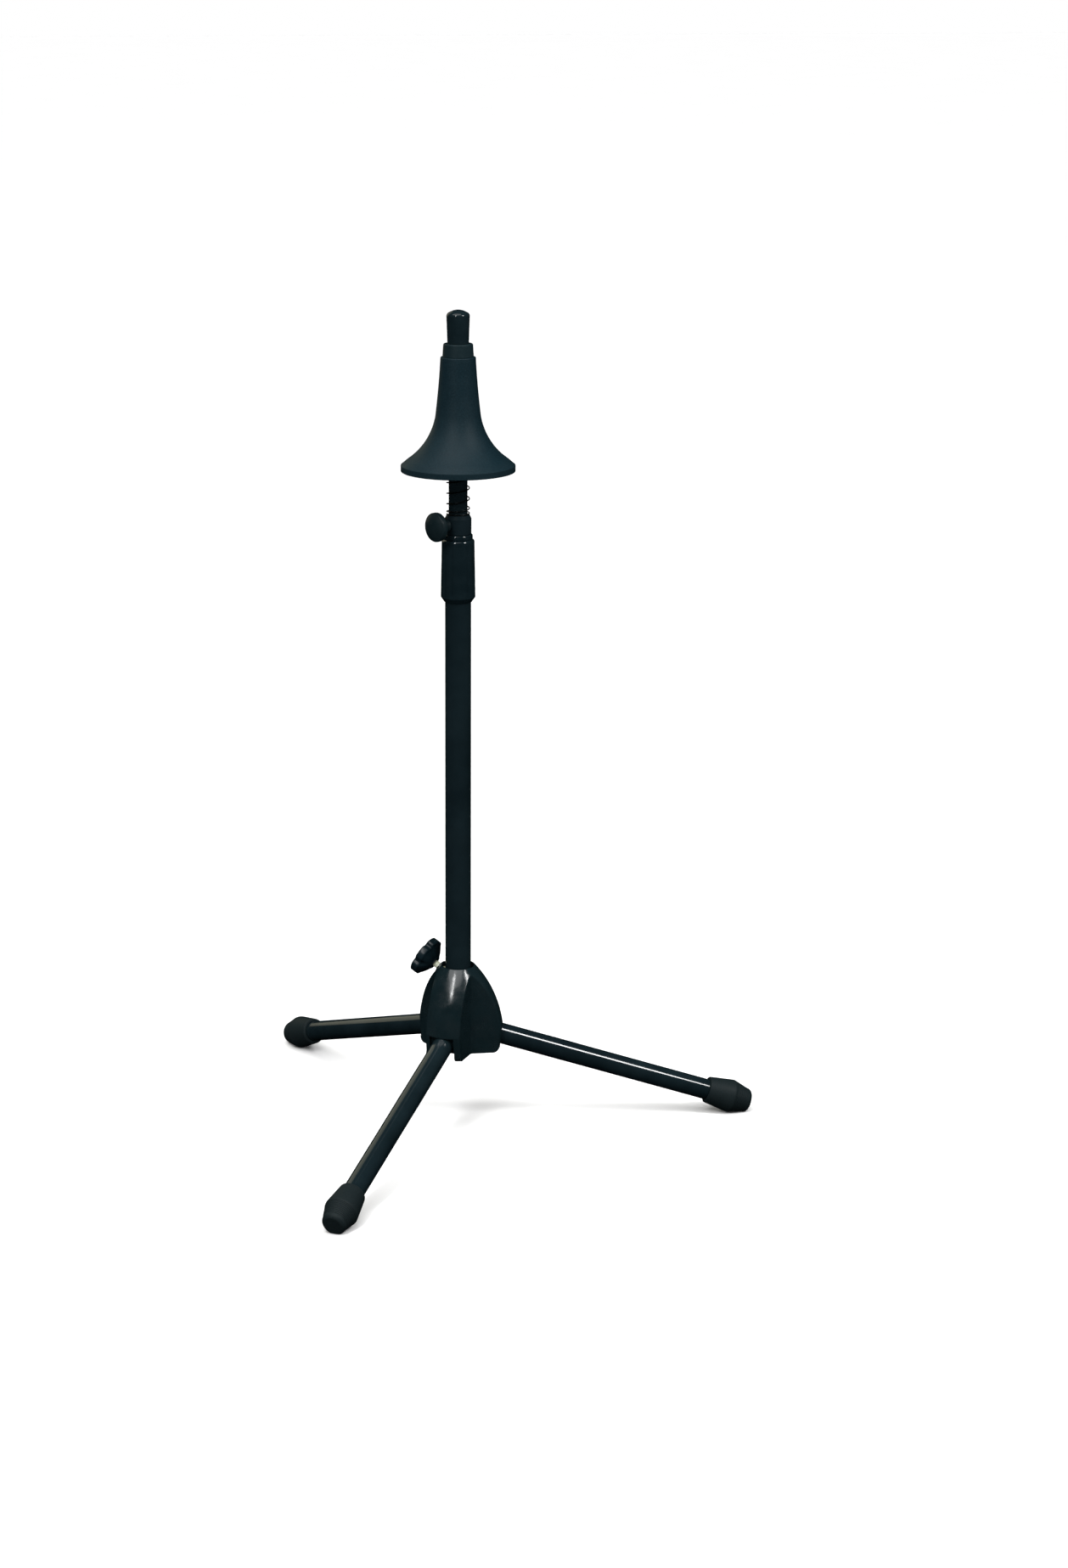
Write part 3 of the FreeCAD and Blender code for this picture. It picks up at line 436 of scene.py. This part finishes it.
def turned_mesh(outline, segments, warp=None, ring=True):
    """Mesh turned about Z from (radius, height) points in millimetres. With ring
    the last point joins the first; without it both lie on the axis. warp moves
    a point at an angle."""
    mesh_data = bmesh.new()
    rows = []
    for radius, height in outline:
        if radius == 0.0:
            rows.append([mesh_data.verts.new((0, 0, height * MM))])
            continue
        row = []
        for step in range(segments):
            angle = TURN * step / segments
            r, h = warp(angle, radius, height) if warp else (radius, height)
            place = (r * math.cos(angle) * MM, r * math.sin(angle) * MM, h * MM)
            row.append(mesh_data.verts.new(place))
        rows.append(row)
    pairs = list(zip(rows, rows[1:] + rows[:1])) if ring else list(zip(rows, rows[1:]))
    for lower, upper in pairs:
        if len(lower) == 1 and len(upper) == 1:
            continue
        for step in range(segments):
            following = (step + 1) % segments
            corners = [
                lower[step % len(lower)], lower[following % len(lower)],
                upper[following % len(upper)], upper[step % len(upper)],
            ]
            unique = [v for i, v in enumerate(corners) if v not in corners[:i]]
            mesh_data.faces.new(unique)
    return mesh_data


def smooth_step(value):
    value = min(max(value, 0.0), 1.0)
    return value * value * (3.0 - 2.0 * value)


def joint_frame(name):
    """Matrix whose origin is the joint, whose Z is its slanted axis and whose X is level."""
    joint = JOINTS[name]
    z_axis = Vector(joint["axis"]).normalized()
    x_axis = Vector((0, 0, 1)).cross(z_axis)
    x_axis.normalize()
    y_axis = z_axis.cross(x_axis)
    matrix = Matrix((x_axis, y_axis, z_axis)).transposed().to_4x4()
    matrix.translation = Vector(joint["pos_m"])
    return matrix


# ------------------------------------------------------------------ cone


def make_cone():
    low, high = (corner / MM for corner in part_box("bell_cone"))
    rim, base, top = high.x, low.z, high.z
    flare_top, flare_radius = base + 9.6, 43.0
    neck_base, neck_radius, neck_top_radius = base + 47.0, 19.2, 14.9
    inner_rim, ceiling, ceiling_radius = 45.2, base + 53.0, 15.4
    core_radius, core_base, bore, seat = 11.6, base + 19.1, 8.1, 10.45
    outline = [(inner_rim + 0.6, base), (inner_rim + 1.2, base)]
    outline += arc((rim - 0.5, base), (rim, base + 0.5), 0.5, 1, 5)
    outline += [(rim, base + 4.8)]
    outline += arc((rim, base + 4.9), (rim - 0.35, base + 5.25), 0.35, 1, 4)
    outline += [(flare_radius, flare_top)]
    outline += arc((flare_radius, flare_top), (neck_radius, neck_base), 57.0, -1, 36)
    outline += arc((neck_radius, neck_base), (neck_top_radius, top - 0.8), 700.0, -1, 24)
    outline += arc((neck_top_radius, top - 0.8), (neck_top_radius - 0.8, top), 0.8, 1, 5)
    outline += [(seat, top), (seat, top - 7.9), (bore, top - 8.0), (bore, core_base + 0.5)]
    outline += [(bore + 0.5, core_base), (core_radius - 0.5, core_base), (core_radius, core_base + 0.5)]
    outline += [(core_radius, ceiling - 1.0), (core_radius + 1.0, ceiling)]
    outline += [(ceiling_radius - 1.0, ceiling), (ceiling_radius, ceiling - 1.5)]
    outline += arc((ceiling_radius, ceiling - 1.5), (inner_rim, base + 3.0), 60.0, 1, 36)
    outline += [(inner_rim, base + 0.6)]
    mesh_data = turned_mesh(outline, 192)
    return finish_mesh("cone_shell", mesh_data, "cone_rubber", "cone", ["bell_cone"])


def make_cone_bush():
    low, high = (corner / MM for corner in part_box("cone_guide_bush"))
    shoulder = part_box("bell_cone")[1].z / MM
    bore = 8.0
    outline = [(bore, low.z), (10.4, low.z), (10.4, shoulder)]
    outline += [(high.x - 0.3, shoulder), (high.x, shoulder + 0.3)]
    outline += arc((12.55, high.z - 1.2), (11.35, high.z), 1.2, 1, 8)
    outline += arc((bore + 0.5, high.z), (bore, high.z - 0.5), 0.5, 1, 4)
    mesh_data = turned_mesh(outline, ROUND_SEGMENTS)
    return finish_mesh("cone_bush", mesh_data, "bush_plastic", "cone", ["cone_guide_bush"])


def make_tip_cap():
    low, high = (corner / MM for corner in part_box("rod_tip_cap"))
    bore, rod_top = 7.95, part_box("inner_rod")[1].z / MM
    shoulder = 9.8
    outline = [(bore, rod_top), (bore, low.z + 0.3), (bore + 0.3, low.z)]
    outline += arc((9.05 - 0.35, low.z), (9.05, low.z + 0.35), 0.35, 1, 4)
    outline += [(9.3, low.z + 9.0), (9.62, low.z + 17.5), (shoulder, low.z + 22.3)]
    outline += arc((shoulder, low.z + 22.3), (7.6, low.z + 26.05), 3.5, 1, 14)
    outline += crown(7.6, low.z + 26.05, high.z)
    outline += [(0.0, high.z), (0.0, rod_top)]
    mesh_data = turned_mesh(outline, ROUND_SEGMENTS)
    return finish_mesh("tip_cap", mesh_data, "tip_vinyl", "rod", ["rod_tip_cap"])


# ------------------------------------------------------------------ spring


def make_spring():
    """Round wire wound closer at both ends."""
    low, high = (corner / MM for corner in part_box("spring"))
    wire, radius = 0.55, high.x - 0.55
    turns, steps_per_turn, around = 7.6, 48, 12
    open_pitch, closed_pitch, closing = 9.4, 1.15, 2.4
    steps = int(turns * steps_per_turn)
    heights = [0.0]
    for step in range(steps):
        along = (step + 0.5) / steps_per_turn
        ease = smooth_step(along / closing) * smooth_step((turns - along) / 1.4)
        pitch = closed_pitch + (open_pitch - closed_pitch) * ease
        heights.append(heights[-1] + pitch / steps_per_turn)
    room = high.z - low.z - 2.0 * wire
    scale = room / heights[-1]
    start_angle = CAMERA_TURN - math.pi / 2
    mesh_data = bmesh.new()
    rings = []
    for step, rise in enumerate(heights):
        angle = start_angle + TURN * step / steps_per_turn
        out = Vector((math.cos(angle), math.sin(angle), 0))
        centre = out * radius + Vector((0, 0, low.z + wire + rise * scale))
        ring = []
        for part in range(around):
            turn = TURN * part / around
            point = centre + out * (wire * math.cos(turn)) + Vector((0, 0, wire * math.sin(turn)))
            ring.append(mesh_data.verts.new(point * MM))
        rings.append(ring)
    for first, second in zip(rings, rings[1:]):
        for part in range(around):
            following = (part + 1) % around
            mesh_data.faces.new([first[part], first[following], second[following], second[part]])
    mesh_data.faces.new(rings[0][::-1])
    mesh_data.faces.new(rings[-1])
    piece = finish_mesh("spring_coil", mesh_data, "spring_steel", "collar", ["spring"], sharp=60.0)
    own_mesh(piece)
    return piece


# ------------------------------------------------------------------ clutch


def make_clutch_sleeve():
    low, high = (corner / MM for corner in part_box("clutch_sleeve"))
    bore, flutes, depth = 11.3, 12, 0.45
    base_radius, top_radius, shoulder = 14.7, 13.9, 2.4

    def warp(angle, radius, height):
        fade = smooth_step((height - low.z - 3.6) / 3.0) * smooth_step((high.z - 3.4 - height) / 3.0)
        outer = smooth_step((radius - 12.5) / 1.0)
        dip = max(0.0, math.cos(angle * flutes)) ** 1.5
        return radius - depth * dip * fade * outer, height

    outline = [(bore, low.z + 0.4), (bore + 0.4, low.z)]
    outline += [(bore + 0.6, low.z), (base_radius - 0.25, low.z + 3.6), (base_radius, low.z + 4.1)]
    side_base, side_top, side_steps = low.z + 4.1, high.z - shoulder, 24
    for step in range(1, side_steps):
        share = step / side_steps
        radius = base_radius + (top_radius - base_radius) * share
        outline.append((radius, side_base + (side_top - side_base) * share))
    outline += [(top_radius, side_top)]
    outline += arc((top_radius, side_top), (top_radius - shoulder, high.z), shoulder, 1, 10)
    outline += [(bore, high.z)]
    mesh_data = turned_mesh(outline, 240, warp)
    return finish_mesh(
        "clutch_grip_sleeve", mesh_data, "clutch_plastic", "clutch_grip", ["clutch_sleeve"])


def make_clutch_flange():
    low, high = (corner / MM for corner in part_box("clutch_flange"))
    bore, lip = 8.0, 1.3
    outline = [(bore, low.z), (high.x - 0.3, low.z), (high.x, low.z + 0.3)]
    outline += [(high.x, high.z - lip)]
    outline += arc((high.x, high.z - lip), (high.x - lip, high.z), lip, 1, 8)
    outline += [(bore, high.z)]
    mesh_data = turned_mesh(outline, ROUND_SEGMENTS)
    return finish_mesh("clutch_ring", mesh_data, "clutch_plastic", "column", ["clutch_flange"])


# ------------------------------------------------------------------ collar and its thumb screw


def make_stop_collar():
    low, high = (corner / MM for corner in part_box("stop_collar"))
    bore, radius, top_radius, chamfer = 8.0, high.x, 9.7, high.z - 3.1
    outline = rounded([
        (bore, low.z, 0.3), (radius, low.z, 0.5), (radius, chamfer, 0.7),
        (top_radius, high.z, 0.4), (bore, high.z, 0.3),
    ])
    mesh_data = turned_mesh(outline, ROUND_SEGMENTS)
    return finish_mesh("collar_ring", mesh_data, "collar_enamel", "collar", ["stop_collar"])


def make_thumb_knob():
    """Round knob with a domed face, on the collar's screw."""
    matrix = joint_frame("collar_knob_turn")
    start, neck, screw, disc, rim, end = 11.8, 5.2, 2.5, 20.6, 26.8, 30.0
    radius, face = 12.45, 11.15
    outline = [(0.0, start), (screw, start), (neck - 0.3, start), (neck, start + 0.3)]
    outline += arc((neck, disc - 2.6), (neck + 1.6, disc - 0.8), 1.9, -1, 6)
    outline += [(radius - 2.4, disc)]
    outline += arc((radius - 2.0, disc + 0.1), (radius, disc + 2.1), 2.1, 1, 8)
    outline += [(radius, rim - 1.4)]
    outline += arc((radius, rim - 1.4), (face, rim), 1.5, 1, 8)
    outline += crown(face, rim, end) + [(0.0, end)]
    mesh_data = turned_mesh(outline, ROUND_SEGMENTS, ring=False)
    return finish_mesh(
        "thumb_knob", mesh_data, "knob_satin", "collar_thumbscrew", ["collar_knob"], matrix)


# ------------------------------------------------------------------ star knob and bolt


def make_star_knob():
    matrix = joint_frame("clamp_knob_turn")
    lobes, depth, notch_half_angle = 6, 2.6, math.radians(15.0)
    hub_start, rim_start, end, crown_rise = 13.2, 20.3, 28.6, 1.2
    bore, hub_radius, radius, edge = 3.0, 6.3, 17.5, 1.5

    def warp(angle, radius_here, height):
        period = TURN / lobes
        away = abs((angle + period / 2.0) % period - period / 2.0)
        notch = smooth_step(1.0 - away / notch_half_angle)
        share = smooth_step((radius_here - 9.0) / (radius - 9.0))
        return radius_here - depth * notch * share, height

    outline = [(bore, hub_start)]
    outline += arc((hub_radius - 0.6, hub_start), (hub_radius, hub_start + 0.6), 0.6, 1, 4)
    outline += arc((hub_radius, hub_start + 0.6), (radius - edge, rim_start), 40.0, 1, 12)
    outline += arc((radius - edge, rim_start), (radius, rim_start + edge), edge, 1, 6)
    outline += [(radius, rim_start + 3.0), (radius, rim_start + 4.2)]
    face = end - crown_rise
    outline += arc((radius, face - edge), (radius - edge, face), edge, 1, 6)
    outline += crown(radius - edge, face, end)
    outline += [(0.0, end), (0.0, hub_start + 8.0), (bore, hub_start + 8.0)]
    mesh_data = turned_mesh(outline, 256, warp)
    return finish_mesh("star_knob", mesh_data, "knob_plastic", "clamp_screw", ["clamp_knob"], matrix)


def make_clamp_bolt():
    """Bolt with a rolled thread, from the shoe to inside the knob."""
    matrix = joint_frame("clamp_knob_turn")
    start, end, pitch, crest, root = 3.1, 23.1, 1.0, 3.0, 2.75
    per_pitch = 10

    def warp(angle, radius, height):
        if radius < 2.0:
            return radius, height
        phase = (height / pitch - angle / TURN) % 1.0
        ridge = min(1.0, max(0.0, 2.4 * abs(phase - 0.5) - 0.1))
        return root + (crest - root) * ridge, height

    rows = int((end - start) / pitch * per_pitch)
    outline = [(0.0, start), (1.9, start)]
    outline += [(crest, start + 0.4 + (end - start - 0.8) * step / rows) for step in range(rows + 1)]
    outline += [(1.9, end), (0.0, end)]
    mesh_data = turned_mesh(outline, 48, warp, ring=False)
    return finish_mesh(
        "clamp_thread", mesh_data, "yellow_zinc", "clamp_screw", ["clamp_bolt"], matrix, sharp=75.0)


# ------------------------------------------------------------------ feet

LEG_SLOPE = math.radians(18.335)


def leg_matrix(leg):
    """Z along the leg from its pivot, for a piece turned about the leg."""
    joint = JOINTS[f"{leg}_fold"]
    across = Vector(joint["axis"]).normalized()
    outward = across.cross(Vector((0, 0, 1)))
    along = outward * math.cos(LEG_SLOPE) - Vector((0, 0, math.sin(LEG_SLOPE)))
    above = along.cross(across)
    matrix = Matrix((-above, across, along)).transposed().to_4x4()
    matrix.translation = Vector(joint["pos_m"])
    return matrix


def make_foot(leg):
    """Rubber foot with fine rings before its end, flat where it meets the floor."""
    tube, lip, start = 9.0, 11.6, 207.9
    swell, swell_radius = 230.7, 14.5
    taper_end, taper_radius = 243.9, 10.6
    end, end_radius, tube_end = 248.2, 7.6, 240.0
    rings, ring_pitch, ring_depth = 8, 1.45, 0.32
    skirt_steps, steps_per_ring = 8, 8
    outline = [(0.0, tube_end), (tube, tube_end), (tube, start + 0.4), (tube + 0.4, start)]
    outline += arc((lip - 1.0, start), (lip, start + 1.0), 1.0, 1, 6)
    for step in range(1, skirt_steps):
        share = step / skirt_steps
        radius = lip + (swell_radius - lip) * share
        outline.append((radius, start + 1.0 + (swell - 2.0 - start) * share))
    outline += arc((swell_radius - 0.16, swell - 1.6), (swell_radius - 0.36, swell + 1.3), 4.5, 1, 8)
    first_ring = taper_end - rings * ring_pitch - 0.3
    steps = rings * steps_per_ring
    slope = (swell_radius - taper_radius) / (taper_end - swell)
    for step in range(steps + 1):
        along = first_ring + rings * ring_pitch * step / steps
        phase = (step % steps_per_ring) / steps_per_ring
        dip = ring_depth * max(0.0, math.cos(phase * TURN)) ** 0.8 if 0 < step < steps else 0.0
        outline.append((swell_radius - slope * (along - swell) - dip, along))
    outline += arc((taper_radius, taper_end), (end_radius, end), 4.6, 1, 10)
    outline += [(0.0, end)]
    mesh_data = turned_mesh(outline, 144)
    matrix = leg_matrix(leg)
    bmesh.ops.transform(mesh_data, matrix=matrix, verts=mesh_data.verts)
    for vertex in mesh_data.verts:
        vertex.co.z = max(vertex.co.z, 0.0)
    return finish_mesh(f"{leg}_rubber_foot", mesh_data, "foot_rubber", leg, [f"{leg}_foot"])


MATERIALS = make_materials()
make_camera()
make_stage()
make_world()
make_lights()
bpy.context.scene.view_settings.view_transform = "Standard"
dress_nodes(MATERIALS)
make_cone()
make_cone_bush()
make_tip_cap()
make_spring()
make_clutch_sleeve()
make_clutch_flange()
make_stop_collar()
make_thumb_knob()
make_star_knob()
make_clamp_bolt()
for leg_name in LEG_NAMES:
    make_foot(leg_name)
